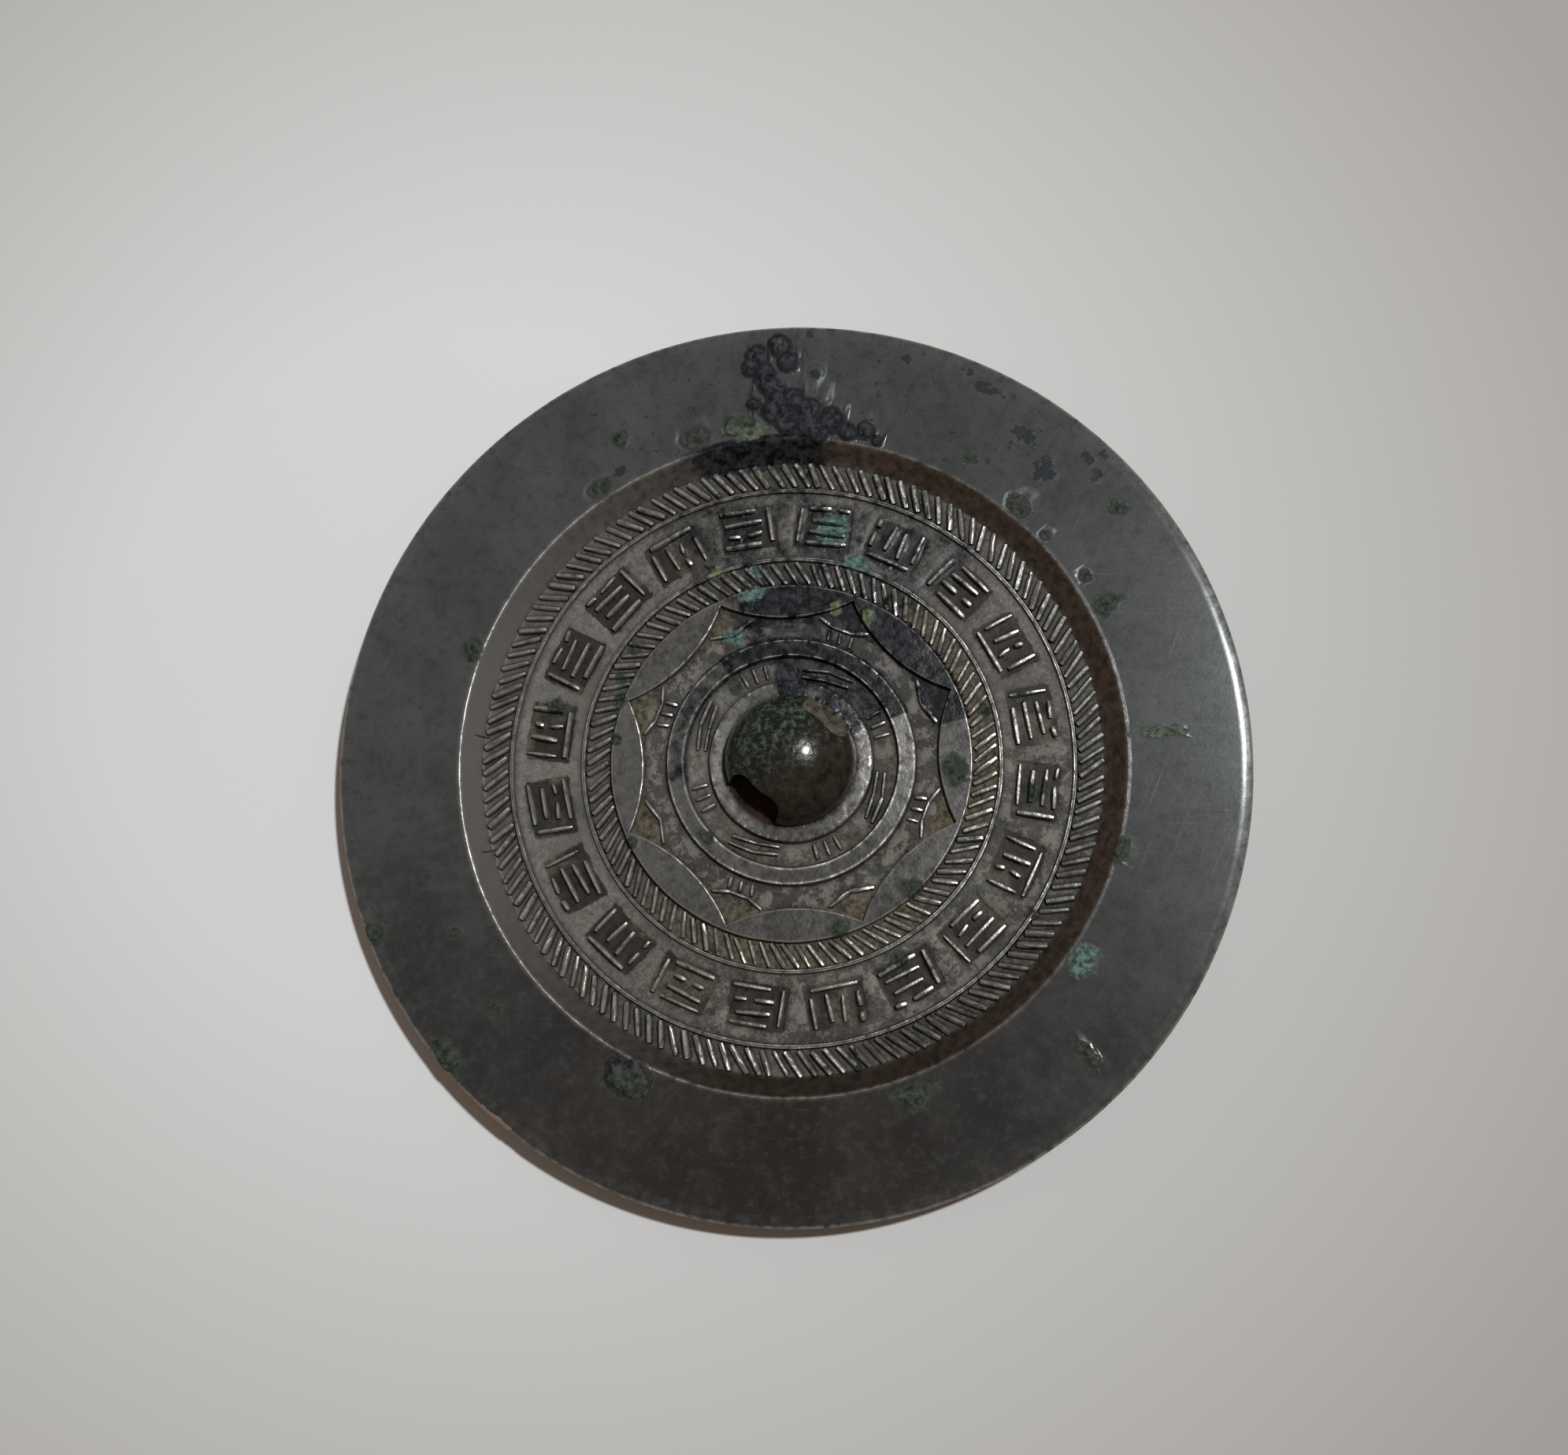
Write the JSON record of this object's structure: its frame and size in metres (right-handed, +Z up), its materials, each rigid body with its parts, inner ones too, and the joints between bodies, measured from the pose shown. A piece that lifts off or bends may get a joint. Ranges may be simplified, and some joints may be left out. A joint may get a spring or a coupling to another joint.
{
  "type": "ancient bronze mirror",
  "caption": "Round cast bronze mirror, back up: broad plain rim, two comb bands, a band of stroke blocks, linked arcs and a pierced domed knob, with corrosion.",
  "frame": {"origin": "middle of the resting face, at the bottom of the part", "axes": "+Z up out of the decorated back, square to the disc; +X along the cord hole through the knob"},
  "size_m": [0.11, 0.11, 0.0095],
  "materials": {
    "patinated_bronze": "dark grey-green patinated cast bronze, worn smooth on the high parts, with green corrosion"
  },
  "bodies": {
    "root": {"bronze_mirror": "patinated_bronze"}
  },
  "joints": []
}
